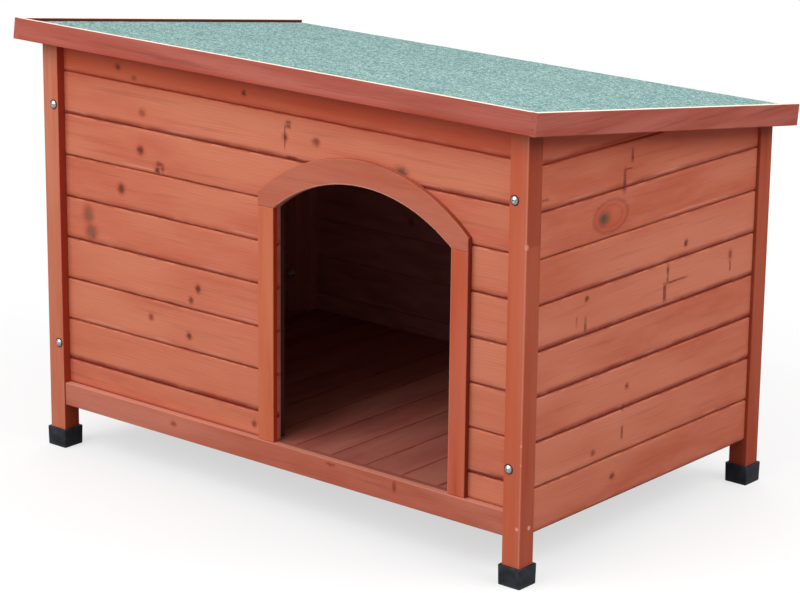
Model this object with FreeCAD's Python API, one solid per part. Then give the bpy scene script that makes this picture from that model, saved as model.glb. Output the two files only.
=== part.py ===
import FreeCAD, Part
import math
import os

from FreeCAD import Rotation, Vector

# A wooden dog house on four posts, with an arched doorway and a hinged lean-to roof.
# Millimetres and degrees. X runs along the front from left to right, Y from front
# to back, Z up. The origin is on the ground, at the centre of the plan outline.

os.makedirs("parts", exist_ok=True)

# posts and walls
bodyWidth = 981.0           # over the posts
bodyDepth = 630.0           # over the posts
postSide = 33.0             # square posts
postEase = 1.5              # rounding of the posts' long edges
frameBottom = 74.0          # underside of the walls above the ground
endRecess = 15.5            # front and rear boards behind the posts' faces
sideRecess = 6.0            # side boards behind the posts' faces

# tongue-and-groove cladding boards
boardThick = 8.0
boardPitch = 68.9           # face from one seam to the next
frontSeam = 151.5           # height of the lowest seam over the front rail
seamGap = 0.3
lowerRoundRise = 5.0        # rounded lower edge of a board's face
lowerRoundDepth = 3.0
upperRoundRise = 3.0        # rounded upper edge of a board's face
upperRoundDepth = 2.5
tongueThick = 2.2
tongueHeight = 4.0
tongueSideGap = 0.15
tongueTipGap = 0.5
tongueFromBack = 2.5        # middle of the tongue from the back of the board

# rails, battens and floor
railHeight = 38.0
railSetback = 3.0           # bottom rails behind the posts' faces
railEase = 1.2
battenWidth = 20.0
battenDepth = 20.0
topBattenHeight = 30.0
stileWidth = 25.0           # side wall stiles, along the wall
floorThick = 10.0
floorBoardWidth = 70.3      # wished width, evened out over the floor
floorGap = 0.6
fitGap = 0.3                # between pieces that only stand beside each other

# doorway and its casing
doorWidth = 346.0
doorFromPost = 109.0        # doorway's right edge from the right post
doorSpringZ = 487.0         # height where the arch starts
doorArchRise = 62.3         # from there to the top of the doorway
casingWidth = 32.0
casingThick = 9.0
casingEase = 1.5
archCrownWidth = 39.4       # casing width at the top of the arch
archShoulderRise = 20.7     # upright end of the arch above the jamb
doorStileSetback = 10.0     # inner battens behind the doorway's edge

# foot caps
capWall = 2.6
capHeight = 31.5
capFloor = 4.0
capFlare = 0.6              # how far the cap widens to the ground, each side
capCorner = 4.0
capFit = 0.1

# roof
roofHeight = 718.0          # top edge of the front fascia
roofPitch = 8.0
sideOverhang = 33.2
frontOverhang = 26.5
rearOverhang = 21.0
fasciaHeight = 34.0
fasciaThick = 10.0
fasciaEase = 1.5
fasciaProud = 5.0           # fascia above the felt
feltThick = 2.0
deckThick = 10.0
roofBattenWidth = 25.0
roofBattenDepth = 20.0
roofBattenGap = 10.0        # roof battens inside the walls' battens
roofSeatGap = 0.4           # closed roof over the walls' tops

# butt hinges
hingeCount = 3
hingeSpacing = 320.0
hingeLength = 50.0
knuckleCount = 3
knuckleGap = 0.4
barrelRadius = 3.5
hingePinRadius = 2.0
hingeBoreGap = 0.05
hingeClear = 0.5            # barrel from the wall and from the roof deck
leafThick = 1.6
wallLeafWidth = 24.0
roofLeafWidth = 15.0
hingePinHeadRadius = 2.9
hingePinHeadThick = 0.8
screwsPerLeaf = 2
hingeScrewSpacing = 30.0
hingeScrewRadius = 1.7
hingeScrewHeadRadius = 3.4
hingeScrewHeadDepth = 1.5
wallScrewLength = 13.0
roofScrewLength = 9.5
screwFit = 0.02

# slotted roof stays
roofOpening = 60.0          # full opening of the roof
stayRadius = 200.0          # hinge axis to the stay's pivot and to its stud
stayStartAngle = 13.0       # between those two when the roof is closed
stayPivotDrop = 10.0        # pivot below the roof deck
stayWidth = 16.0
stayThick = 2.0
stayGap = 0.3
stayPinRadius = 2.5
stayPivotGap = 0.05
staySlotGap = 0.2
staySlotPlay = 0.5
stayHeadRadius = 4.8
stayHeadThick = 2.0
studCollarRadius = 5.5
studCollarThick = 4.0
stayScrewDepth = 14.0       # how deep studs and pivots sit in the wood

# bolts through the posts
boltRadius = 3.0
boltHoleGap = 0.25
boltHeadRadius = 6.0
boltHeadHeight = 4.0
boltHeadRim = 1.3           # straight side under the domed head
boltSocketFlats = 4.0
boltSocketDepth = 2.2
boltEndPast = 2.0           # thread past the nut
nutFlats = 10.0
nutHeight = 6.0
nutFlangeRadius = 7.0
nutFlangeThick = 1.2
frontBoltHeights = (180.0, 580.0)
rearBoltHeights = (180.0, 500.0)

samePlace = 0.01            # two places this near count as the same
cutPast = 1.0               # how far a cut runs on past the face that it opens

# places that follow from the dimensions above
pitchSin = math.sin(math.radians(roofPitch))
pitchCos = math.cos(math.radians(roofPitch))
frontY = (frontOverhang + fasciaHeight * pitchSin - rearOverhang - bodyDepth) / 2
rearY = frontY + bodyDepth
halfWidth = bodyWidth / 2
postInnerX = halfWidth - postSide
frontBoardY = frontY + endRecess
frontBackY = frontBoardY + boardThick
rearBoardY = rearY - endRecess
rearBackY = rearBoardY - boardThick
sideBoardX = halfWidth - sideRecess
sideBackX = sideBoardX - boardThick
floorTop = frameBottom + railHeight
floorUnder = floorTop - floorThick
doorRight = postInnerX - doorFromPost
doorLeft = doorRight - doorWidth
doorCentreX = (doorLeft + doorRight) / 2
doorCrownZ = doorSpringZ + doorArchRise
boltX = (postInnerX + sideBackX) / 2

# the roof's own frame: across (X), down the slope (run), and up from its face (rise)
roofStartY = frontY - frontOverhang
roofRun = (bodyDepth + frontOverhang + rearOverhang) / pitchCos
roofHalfWidth = halfWidth + sideOverhang
deckHalfWidth = roofHalfWidth - fasciaThick
feltTop = -fasciaProud
deckTop = feltTop - feltThick
deckUnder = deckTop - deckThick

# hinge axis, just behind the rear wall and just under the deck
barrelOffset = hingeClear + barrelRadius
hingeRise = deckUnder - barrelOffset
hingeRun = (rearY + barrelOffset - roofStartY - hingeRise * pitchSin) / pitchCos

# stays, beside the side walls' stiles
stayOuterX = postInnerX - studCollarThick - stayGap
stayInnerX = stayOuterX - stayThick
roofBattenX = stayInnerX - stayGap


def roofPoint(run, rise):
    y = roofStartY + run * pitchCos + rise * pitchSin
    z = roofHeight - run * pitchSin + rise * pitchCos
    return y, z


def fromRoofFrame(shape):
    placed = shape.copy()
    turn = Rotation(Vector(1, 0, 0), -roofPitch)
    placed.Placement = FreeCAD.Placement(Vector(0, roofStartY, roofHeight), turn)
    return placed


def block(x, y, z):
    return Part.makeBox(x[1] - x[0], y[1] - y[0], z[1] - z[0], Vector(x[0], y[0], z[0]))


def mirrored(shape):
    return shape.mirror(Vector(0, 0, 0), Vector(1, 0, 0))


def runsAlong(edge, axis):
    direction = edge.Vertexes[-1].Point - edge.Vertexes[0].Point
    return direction.Length > samePlace and direction.cross(axis).Length < samePlace


def eased(shape, axis, radius):
    edges = [edge for edge in shape.Edges if runsAlong(edge, axis)]
    return shape.makeFillet(radius, edges)


def roundBar(radius, length, start, axis):
    return Part.makeCylinder(radius, length, start, axis)


def turned(outline, place, axis):
    # turns an outline of (radius, height) points and arcs about its own height axis
    edges = []
    for piece in outline:
        points = [Vector(radius, 0, height) for radius, height in piece]
        if len(points) == 3:
            edges.append(Part.Arc(*points).toShape())
        else:
            edges.append(Part.makeLine(*points))
    solid = Part.Face(Part.Wire(edges)).revolve(Vector(0, 0, 0), Vector(0, 0, 1), 360)
    solid.Placement = FreeCAD.Placement(place, Rotation(Vector(0, 0, 1), axis))
    return solid


def arcMiddle(reach, depth):
    # middle of an arc that leaves a face smoothly and ends this far along and in
    radius = (reach ** 2 + depth ** 2) / (2 * depth)
    half = math.asin(reach / radius) / 2
    return radius * math.sin(half), radius * (1 - math.cos(half))


def chain(points):
    # straight pieces from each point to the next, closed at the end
    return [(points[i], points[(i + 1) % len(points)]) for i in range(len(points))]


def hexPrism(flats, height, place, axis):
    corner = flats / math.sqrt(3)
    sixth = Rotation(Vector(0, 0, 1), 60)
    ring = [Vector(corner, 0, 0)]
    for _ in range(6):
        ring.append(sixth.multVec(ring[-1]))
    prism = Part.Face(Part.makePolygon(ring)).extrude(Vector(0, 0, height))
    prism.Placement = FreeCAD.Placement(place, Rotation(Vector(0, 0, 1), axis))
    return prism


def aboveWalls():
    # everything above the plane on which the closed roof sits
    low = deckUnder - roofSeatGap
    over = block((-bodyWidth, bodyWidth), (-bodyDepth, 2 * bodyDepth), (low, low + roofHeight))
    return fromRoofFrame(over)


roofSpace = aboveWalls()


def underRoof(shape):
    return shape.cut(roofSpace)


def doorSpace():
    # the doorway through the boards, from the floor to the arch
    y = frontBoardY - casingThick
    corners = [Vector(doorLeft, y, doorSpringZ), Vector(doorLeft, y, floorTop),
               Vector(doorRight, y, floorTop), Vector(doorRight, y, doorSpringZ)]
    edges = [Part.makeLine(a, b) for a, b in zip(corners, corners[1:])]
    edges.append(Part.Arc(corners[3], Vector(doorCentreX, y, doorCrownZ), corners[0]).toShape())
    return Part.Face(Part.Wire(edges)).extrude(Vector(0, casingThick + 2 * boardThick, 0))


# ---- posts and feet ----

def postCentres():
    x = halfWidth - postSide / 2
    y0 = frontY + postSide / 2
    y1 = rearY - postSide / 2
    return {"front_left": (-x, y0), "front_right": (x, y0), "rear_left": (-x, y1), "rear_right": (x, y1)}


def boltHoles(radius):
    # one bore through post and stile for each bolt, from both ends of the house
    bores = []
    depth = postSide + stileWidth
    for side in (-1, 1):
        for z in frontBoltHeights:
            bores.append(roundBar(radius, depth, Vector(side * boltX, frontY, z), Vector(0, 1, 0)))
        for z in rearBoltHeights:
            bores.append(roundBar(radius, depth, Vector(side * boltX, rearY, z), Vector(0, -1, 0)))
    return Part.makeCompound(bores)


boltBores = boltHoles(boltRadius + boltHoleGap)


def post(x, y):
    half = postSide / 2
    bar = block((x - half, x + half), (y - half, y + half), (capFloor, roofHeight))
    return underRoof(eased(bar, Vector(0, 0, 1), postEase)).cut(boltBores)


def roundedSquare(x, y, z, side, corner):
    half = side / 2
    inner = half - corner
    bend = inner + corner * math.sqrt(0.5)
    edges = []
    for quarter in range(4):
        spin = Rotation(Vector(0, 0, 1), 90 * quarter)
        middle = Vector(x, y, z)
        flat = (Vector(half, -inner, 0), Vector(half, inner, 0))
        arc = (Vector(half, inner, 0), Vector(bend, bend, 0), Vector(inner, half, 0))
        edges.append(Part.makeLine(*[middle + spin.multVec(point) for point in flat]))
        edges.append(Part.Arc(*[middle + spin.multVec(point) for point in arc]).toShape())
    return Part.Wire(edges)


def footCap(x, y):
    inside = postSide + 2 * capFit
    side = inside + 2 * capWall
    foot = roundedSquare(x, y, 0, side + 2 * capFlare, capCorner)
    rim = roundedSquare(x, y, capHeight, side, capCorner)
    half = inside / 2
    socket = block((x - half, x + half), (y - half, y + half), (capFloor, capHeight))
    return Part.makeLoft([foot, rim], True, True).cut(socket)


# ---- cladding ----

def boardProfile():
    # section of one board: depth from the face, height from the lower edge
    top = boardPitch - seamGap
    tongueMid = boardThick - tongueFromBack
    t0 = tongueMid - tongueThick / 2
    t1 = tongueMid + tongueThick / 2
    g0 = t0 - tongueSideGap
    g1 = t1 + tongueSideGap
    tip = top + tongueHeight
    groove = tongueHeight - seamGap + tongueTipGap
    upperRise, upperDepth = arcMiddle(upperRoundRise, upperRoundDepth)
    upperStart = (0, top - upperRoundRise)
    upperMid = (upperDepth, top - upperRoundRise + upperRise)
    upperEnd = (upperRoundDepth, top)
    lowerRise, lowerDepth = arcMiddle(lowerRoundRise, lowerRoundDepth)
    lowerStart = (lowerRoundDepth, 0)
    lowerMid = (lowerDepth, lowerRoundRise - lowerRise)
    lowerEnd = (0, lowerRoundRise)
    tongue = [upperEnd, (t0, top), (t0, tip), (t1, tip), (t1, top), (boardThick, top)]
    grooved = [(boardThick, 0), (g1, 0), (g1, groove), (g0, groove), (g0, 0), lowerStart]
    back = tongue + grooved
    outline = [(lowerEnd, upperStart), (upperStart, upperMid, upperEnd)]
    outline += list(zip(back, back[1:]))
    outline.append((lowerStart, lowerMid, lowerEnd))
    return outline


def board(length):
    # lies along X, with its face at Y 0 and its lower edge at Z 0
    edges = []
    for piece in boardProfile():
        points = [Vector(0, depth, height) for depth, height in piece]
        if len(points) == 3:
            edges.append(Part.Arc(*points).toShape())
        else:
            edges.append(Part.makeLine(*points))
    return Part.Face(Part.Wire(edges)).extrude(Vector(length, 0, 0))


def wallBoards(length, start, angle, topZ):
    # boards laid one on the other from the start point, cut along the roof at the top
    stock = board(length)
    boards = []
    z = start.z
    while z < topZ:
        row = stock.copy()
        spin = Rotation(Vector(0, 0, 1), angle)
        row.Placement = FreeCAD.Placement(Vector(start.x, start.y, z), spin)
        boards.append(underRoof(row))
        z += boardPitch
    return boards


def wallTop(y):
    # height of the roof's seat over a place between front and rear
    run = (y - roofStartY - (deckUnder - roofSeatGap) * pitchSin) / pitchCos
    return roofPoint(run, deckUnder - roofSeatGap)[1]


def frontBoards():
    start = Vector(-postInnerX, frontBoardY, frontSeam - boardPitch)
    rows = wallBoards(2 * postInnerX, start, 0, wallTop(frontBoardY))
    opening = doorSpace()
    groups = {"front_board_bottom": [], "front_boards_left": [], "front_boards_right": [],
              "front_board_arch": [], "front_boards_top": []}
    for row in rows:
        box = row.BoundBox
        pieces = row.cut(opening).Solids
        if len(pieces) == 2:
            pieces.sort(key=lambda piece: piece.CenterOfMass.x)
            groups["front_boards_left"].append(pieces[0])
            groups["front_boards_right"].append(pieces[1])
        elif box.ZMin < floorTop:
            groups["front_board_bottom"] += pieces
        elif box.ZMin < doorCrownZ:
            groups["front_board_arch"] += pieces
        else:
            groups["front_boards_top"] += pieces
    return groups


def sideBoards():
    # the right wall, with its boards between the two posts
    start = Vector(sideBoardX, frontY + postSide, frameBottom)
    length = bodyDepth - 2 * postSide
    return wallBoards(length, start, 90, wallTop(frontY + postSide))


def rearBoards():
    start = Vector(postInnerX, rearBoardY, frameBottom)
    return wallBoards(2 * postInnerX, start, 180, wallTop(rearBackY))


# ---- rails and battens ----

def bottomRail(y):
    bar = block((-postInnerX, postInnerX), y, (frameBottom, floorTop))
    return eased(bar, Vector(1, 0, 0), railEase)


def rearTopRail():
    # closes the rear wall at the top, flush with the posts, and carries the hinges
    low = wallTop(rearBoardY) - railHeight
    bar = block((-postInnerX, postInnerX), (rearBoardY, rearY), (low, roofHeight))
    return underRoof(bar).cut(hingeScrewBores(True))


def endCleat(side, y):
    # upright batten in the corner, behind the ends of the front or rear boards
    x = sorted((side * postInnerX, side * (postInnerX - battenWidth)))
    return underRoof(block(x, y, (floorTop + fitGap, roofHeight)))


def frontTopBatten():
    inner = postInnerX - battenWidth
    y = (frontBackY, frontBackY + battenDepth)
    low = wallTop(frontBackY) - topBattenHeight
    return underRoof(block((-inner, inner), y, (low, roofHeight)))


def doorStile(side):
    near = doorCentreX + side * (doorWidth / 2 + doorStileSetback)
    x = sorted((near, near + side * battenWidth))
    top = wallTop(frontBackY) - topBattenHeight - fitGap
    return block(x, (frontBackY, frontBackY + battenDepth), (floorTop + fitGap, top))


def rearMidCleat():
    half = battenWidth / 2
    y = (rearBackY - battenDepth, rearBackY)
    return underRoof(block((-half, half), y, (floorTop + fitGap, roofHeight)))


def sideStiles():
    # the right wall's uprights: one behind each post, and one that carries the stay's stud
    x = (postInnerX, sideBackX)
    _, _, studY, studZ = stayPoints()
    ends = []
    for y in (frontY + postSide, rearY - postSide - stileWidth):
        ends.append(block(x, (y, y + stileWidth), (frameBottom, roofHeight)))
    middle = block(x, (studY - stileWidth / 2, studY + stileWidth / 2), (floorUnder + fitGap, roofHeight))
    studPlace = Vector(postInnerX, studY, studZ)
    studBore = roundBar(stayPinRadius + screwFit, stayScrewDepth, studPlace, Vector(1, 0, 0))
    return [underRoof(stile).cut(boltBores).cut(studBore) for stile in ends + [middle]]


def sideBottomRail():
    near = frontY + postSide + stileWidth + fitGap
    far = rearY - postSide - stileWidth - fitGap
    return block((postInnerX, sideBackX), (near, far), (frameBottom, floorUnder))


def floorBearers():
    middle = (frontBackY + rearBackY) / 2
    starts = (frontBackY, middle - battenDepth / 2, rearBackY - battenDepth)
    x = (-postInnerX, postInnerX)
    return [block(x, (y, y + battenDepth), (frameBottom, floorUnder)) for y in starts]


def floorBoards():
    width = 2 * postInnerX
    count = round(width / floorBoardWidth)
    pitch = width / count
    boards = []
    for i in range(count):
        left = -postInnerX + i * pitch + floorGap / 2
        x = (left, left + pitch - floorGap)
        boards.append(block(x, (frontBackY + fitGap, rearBackY - fitGap), (floorUnder, floorTop)))
    return boards


# ---- door casing ----

def frontEdges(shape, y):
    return [edge for edge in shape.Edges if all(abs(end.Y - y) < samePlace for end in edge.Vertexes)]


def casingFinish(shape):
    return shape.makeFillet(casingEase, frontEdges(shape, frontBoardY - casingThick))


def doorJamb(side):
    near = doorCentreX + side * doorWidth / 2
    x = sorted((near, near + side * casingWidth))
    jamb = block(x, (frontBoardY - casingThick, frontBoardY), (floorTop, doorSpringZ - fitGap))
    return casingFinish(jamb)


def doorArch():
    # one sawn piece: its outer curve is flatter than the doorway's own
    y = frontBoardY - casingThick
    outerCrown = doorCrownZ + archCrownWidth
    shoulder = doorSpringZ + archShoulderRise
    left = doorLeft - casingWidth
    right = doorRight + casingWidth
    path = [(Vector(left, y, doorSpringZ), Vector(left, y, shoulder)),
            (Vector(left, y, shoulder), Vector(doorCentreX, y, outerCrown), Vector(right, y, shoulder)),
            (Vector(right, y, shoulder), Vector(right, y, doorSpringZ)),
            (Vector(right, y, doorSpringZ), Vector(doorRight, y, doorSpringZ)),
            (Vector(doorRight, y, doorSpringZ), Vector(doorCentreX, y, doorCrownZ),
             Vector(doorLeft, y, doorSpringZ)),
            (Vector(doorLeft, y, doorSpringZ), Vector(left, y, doorSpringZ))]
    edges = [Part.Arc(*piece).toShape() if len(piece) == 3 else Part.makeLine(*piece) for piece in path]
    return casingFinish(Part.Face(Part.Wire(edges)).extrude(Vector(0, casingThick, 0)))


# ---- bolts ----

def boltPlaces():
    places = []
    for side in (-1, 1):
        places += [(Vector(side * boltX, frontY, z), Vector(0, -1, 0)) for z in frontBoltHeights]
        places += [(Vector(side * boltX, rearY, z), Vector(0, 1, 0)) for z in rearBoltHeights]
    return places


def postBolt(place, outward):
    grip = postSide + stileWidth + nutHeight + boltEndPast
    reach, drop = arcMiddle(boltHeadRadius, boltHeadHeight - boltHeadRim)
    dome = ((boltHeadRadius, boltHeadRim), (reach, boltHeadHeight - drop), (0, boltHeadHeight))
    shank = chain([(0, -grip), (boltRadius, -grip), (boltRadius, 0), (boltHeadRadius, 0)])[:-1]
    side = ((boltHeadRadius, 0), (boltHeadRadius, boltHeadRim))
    outline = shank + [side, dome, ((0, boltHeadHeight), (0, -grip))]
    bolt = turned(outline, place, outward)
    seat = place + outward * (boltHeadHeight - boltSocketDepth)
    return bolt.cut(hexPrism(boltSocketFlats, boltSocketDepth + cutPast, seat, outward))


def postNut(place, outward):
    seat = place - outward * (postSide + stileWidth)
    nut = hexPrism(nutFlats, nutHeight, seat, -outward)
    nut = nut.fuse(roundBar(nutFlangeRadius, nutFlangeThick, seat, -outward))
    bore = roundBar(boltRadius, nutHeight, seat, -outward)
    return nut.cut(bore).removeSplitter()


# ---- roof ----

def sideFascia(side):
    x = sorted((side * deckHalfWidth, side * roofHalfWidth))
    bar = block(x, (0, roofRun), (-fasciaHeight, 0))
    return fromRoofFrame(eased(bar, Vector(0, 1, 0), fasciaEase))


def frontFascia():
    bar = block((-deckHalfWidth, deckHalfWidth), (0, fasciaThick), (-fasciaHeight, 0))
    return fromRoofFrame(eased(bar, Vector(1, 0, 0), fasciaEase))


def roofDeck():
    deck = block((-deckHalfWidth, deckHalfWidth), (fasciaThick, roofRun - feltThick), (deckUnder, deckTop))
    return fromRoofFrame(deck).cut(hingeScrewBores(False))


def roofFelt():
    # covers the deck between the fascias and turns down over its rear edge
    x = (-deckHalfWidth, deckHalfWidth)
    sheet = block(x, (fasciaThick, roofRun), (deckTop, feltTop))
    lip = block(x, (roofRun - feltThick, roofRun), (deckUnder, deckTop))
    return fromRoofFrame(sheet.fuse(lip).removeSplitter())


def roofBattenRuns():
    # the roof's battens stay clear of the front and rear walls' own battens
    front = frontBackY + battenDepth + roofBattenGap
    rear = rearBackY - battenDepth - roofBattenGap
    return (front - roofStartY) / pitchCos, (rear - roofStartY) / pitchCos


def roofSideBatten(side):
    run0, run1 = roofBattenRuns()
    x = sorted((side * roofBattenX, side * (roofBattenX - roofBattenWidth)))
    pivotRun, pivotRise, _, _ = stayPoints()
    bar = block(x, (run0, run1), (deckUnder - roofBattenDepth, deckUnder))
    start = Vector(side * roofBattenX, pivotRun, pivotRise)
    bore = roundBar(stayPinRadius + screwFit, stayScrewDepth, start, Vector(-side, 0, 0))
    return fromRoofFrame(bar.cut(bore))


def roofCrossBatten(start):
    inner = roofBattenX - roofBattenWidth
    bar = block((-inner, inner), (start, start + roofBattenWidth), (deckUnder - roofBattenDepth, deckUnder))
    return fromRoofFrame(bar)


# ---- hinges ----

def hingeCentres():
    return [hingeSpacing * (i - (hingeCount - 1) / 2) for i in range(hingeCount)]


def hingeScrewXs():
    offsets = [hingeScrewSpacing * (i - (screwsPerLeaf - 1) / 2) for i in range(screwsPerLeaf)]
    return [centre + offset for centre in hingeCentres() for offset in offsets]


def leafSpan(width):
    # a leaf's plate, from the barrel's clearance to its far edge
    return barrelRadius + hingeClear, width


def screwOffset(width):
    near, far = leafSpan(width)
    return (near + far) / 2


def hingeScrewPlaces(onWall):
    # face of the plate and the way out of it, for every screw
    places = []
    _, axisZ = roofPoint(hingeRun, hingeRise)
    for x in hingeScrewXs():
        if onWall:
            spot = Vector(x, rearY + leafThick, axisZ - screwOffset(wallLeafWidth))
            places.append((spot, Vector(0, 1, 0)))
        else:
            y, z = roofPoint(hingeRun + screwOffset(roofLeafWidth), deckUnder - leafThick)
            places.append((Vector(x, y, z), Vector(0, -pitchSin, -pitchCos)))
    return places


def hingeScrewBores(onWall):
    length = wallScrewLength if onWall else roofScrewLength
    bores = []
    for spot, outward in hingeScrewPlaces(onWall):
        bores.append(roundBar(hingeScrewRadius + screwFit, length, spot, -outward))
    return Part.makeCompound(bores)


def hingeScrews(onWall):
    length = wallScrewLength if onWall else roofScrewLength
    points = [(0, -length), (hingeScrewRadius, -length),
              (hingeScrewRadius, -hingeScrewHeadDepth), (hingeScrewHeadRadius, 0), (0, 0)]
    return [turned(chain(points), spot, outward) for spot, outward in hingeScrewPlaces(onWall)]


def countersinks(onWall):
    cones = []
    grow = screwFit
    for spot, outward in hingeScrewPlaces(onWall):
        points = [(0, -leafThick - cutPast), (hingeScrewRadius + grow, -leafThick - cutPast),
                  (hingeScrewRadius + grow, -hingeScrewHeadDepth), (hingeScrewHeadRadius + grow, 0),
                  (hingeScrewHeadRadius + grow, cutPast), (0, cutPast)]
        cones.append(turned(chain(points), spot, outward))
    return Part.makeCompound(cones)


def knuckleSpans(first):
    # every second knuckle along the barrel, starting with the given one
    pitch = hingeLength / knuckleCount
    spans = []
    for i in range(first, knuckleCount, 2):
        start = -hingeLength / 2 + i * pitch
        spans.append((start + knuckleGap / 2, start + pitch - knuckleGap / 2))
    return spans


def hingeLeaf(width, first):
    # plate along Y from the axis at the origin, under a surface one barrelOffset above it
    half = hingeLength / 2
    along = Vector(1, 0, 0)
    near, far = leafSpan(width)
    rise = (barrelOffset - leafThick, barrelOffset)
    leaf = block((-half, half), (near, far), rise)
    for start, end in knuckleSpans(first):
        leaf = leaf.fuse(block((start, end), (0, near), rise))
        leaf = leaf.fuse(roundBar(barrelRadius, end - start, Vector(start, 0, 0), along))
    bore = roundBar(hingePinRadius + hingeBoreGap, hingeLength, Vector(-half, 0, 0), along)
    return leaf.cut(bore).removeSplitter()


def hingeLeaves(onWall):
    axisY, axisZ = roofPoint(hingeRun, hingeRise)
    width = wallLeafWidth if onWall else roofLeafWidth
    spin = Rotation(Vector(1, 0, 0), -roofPitch)
    if onWall:
        # half a turn about a slanting axis, so the plate hangs down with its back on the wall
        spin = Rotation(Vector(0, 1, -1), 180)
    sinks = countersinks(onWall)
    leaves = []
    for centre in hingeCentres():
        leaf = hingeLeaf(width, 0 if onWall else 1)
        leaf.Placement = FreeCAD.Placement(Vector(centre, axisY, axisZ), spin)
        leaves.append(leaf.cut(sinks))
    return leaves


def hingePins():
    axisY, axisZ = roofPoint(hingeRun, hingeRise)
    half = hingeLength / 2
    pins = []
    for centre in hingeCentres():
        points = [(0, -half - hingePinHeadThick), (hingePinHeadRadius, -half - hingePinHeadThick),
                  (hingePinHeadRadius, -half), (hingePinRadius, -half), (hingePinRadius, half),
                  (hingePinHeadRadius, half), (hingePinHeadRadius, half + hingePinHeadThick),
                  (0, half + hingePinHeadThick)]
        pins.append(turned(chain(points), Vector(centre, axisY, axisZ), Vector(1, 0, 0)))
    return pins


# ---- roof stays ----

def stayPoints():
    # The stay's pivot under the roof and its stud on the wall are equally far from the
    # hinge axis, so a stay turns by half the roof's angle while the stud slides in its slot.
    rise = deckUnder - stayPivotDrop
    run = hingeRun - math.sqrt(stayRadius ** 2 - (rise - hingeRise) ** 2)
    axisY, axisZ = roofPoint(hingeRun, hingeRise)
    pivotY, pivotZ = roofPoint(run, rise)
    angle = math.atan2(pivotZ - axisZ, axisY - pivotY) - math.radians(stayStartAngle)
    studY = axisY - stayRadius * math.cos(angle)
    studZ = axisZ + stayRadius * math.sin(angle)
    return run, rise, studY, studZ


def stayReach(openAngle):
    # pivot to stud when the roof is open by an angle
    return 2 * stayRadius * math.sin(math.radians(stayStartAngle + openAngle) / 2)


def longHole(start, end, radius, thick):
    # a slot along Y, with round ends
    ends = [roundBar(radius, thick, Vector(0, y, 0), Vector(1, 0, 0)) for y in (start, end)]
    middle = block((0, thick), (start, end), (-radius, radius))
    return middle.fuse(ends).removeSplitter()


def stayArm():
    # the right stay: a flat bar with a long slot, hanging from its pivot
    half = stayWidth / 2
    near = stayReach(0) - staySlotPlay
    far = stayReach(roofOpening) + staySlotPlay
    bar = longHole(0, far + half - stayPinRadius, half, stayThick)
    slot = longHole(near, far, stayPinRadius + staySlotGap, stayThick)
    eye = roundBar(stayPinRadius + stayPivotGap, stayThick, Vector(0, 0, 0), Vector(1, 0, 0))
    arm = bar.cut(slot).cut(eye)
    run, rise, studY, studZ = stayPoints()
    pivotY, pivotZ = roofPoint(run, rise)
    lean = math.degrees(math.atan2(studZ - pivotZ, studY - pivotY))
    turn = Rotation(Vector(1, 0, 0), lean)
    arm.Placement = FreeCAD.Placement(Vector(stayInnerX, pivotY, pivotZ), turn)
    return arm


def stayPivotScrew():
    run, rise, _, _ = stayPoints()
    y, z = roofPoint(run, rise)
    start = roofBattenX - stayScrewDepth
    head = stayOuterX + stayGap
    points = [(0, start), (stayPinRadius, start), (stayPinRadius, head), (stayHeadRadius, head),
              (stayHeadRadius, head + stayHeadThick), (0, head + stayHeadThick)]
    return turned(chain(points), Vector(0, y, z), Vector(1, 0, 0))


def stayStud():
    _, _, y, z = stayPoints()
    head = stayInnerX - stayGap
    collar = postInnerX - studCollarThick
    end = postInnerX + stayScrewDepth
    points = [(0, head - stayHeadThick), (stayHeadRadius, head - stayHeadThick), (stayHeadRadius, head),
              (stayPinRadius, head), (stayPinRadius, collar), (studCollarRadius, collar),
              (studCollarRadius, postInnerX), (stayPinRadius, postInnerX), (stayPinRadius, end), (0, end)]
    return turned(chain(points), Vector(0, y, z), Vector(1, 0, 0))


# ---- all pieces by name ----

def houseNodes():
    nodes = {}
    for name, (x, y) in postCentres().items():
        nodes["post_" + name] = [post(x, y)]
        nodes["foot_cap_" + name] = [footCap(x, y)]
    nodes.update(frontBoards())
    right = sideBoards()
    nodes["side_boards_right"] = right
    nodes["side_boards_left"] = [mirrored(piece) for piece in right]
    nodes["rear_boards"] = rearBoards()
    nodes["front_bottom_rail"] = [bottomRail((frontY + railSetback, frontBoardY))]
    nodes["rear_bottom_rail"] = [bottomRail((rearBoardY, rearY - railSetback))]
    nodes["rear_top_rail"] = [rearTopRail()]
    nodes["front_top_batten"] = [frontTopBatten()]
    nodes["rear_middle_cleat"] = [rearMidCleat()]
    for side, word in ((-1, "left"), (1, "right")):
        nodes["front_cleat_" + word] = [endCleat(side, (frontBackY, frontBackY + battenDepth))]
        nodes["rear_cleat_" + word] = [endCleat(side, (rearBackY - battenDepth, rearBackY))]
        nodes["door_stile_" + word] = [doorStile(side)]
        nodes["door_jamb_" + word] = [doorJamb(side)]
    nodes["door_arch"] = [doorArch()]
    stiles = sideStiles()
    nodes["side_stiles_right"] = stiles
    nodes["side_stiles_left"] = [mirrored(piece) for piece in stiles]
    nodes["side_bottom_rail_right"] = [sideBottomRail()]
    nodes["side_bottom_rail_left"] = [mirrored(sideBottomRail())]
    nodes["floor_bearers"] = floorBearers()
    nodes["floor_boards"] = floorBoards()
    nodes["post_bolts"] = [postBolt(place, outward) for place, outward in boltPlaces()]
    nodes["post_nuts"] = [postNut(place, outward) for place, outward in boltPlaces()]
    nodes["hinge_wall_leaves"] = hingeLeaves(True)
    nodes["hinge_pins"] = hingePins()
    nodes["hinge_wall_screws"] = hingeScrews(True)
    nodes["stay_studs"] = [stayStud(), mirrored(stayStud())]
    return nodes


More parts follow.
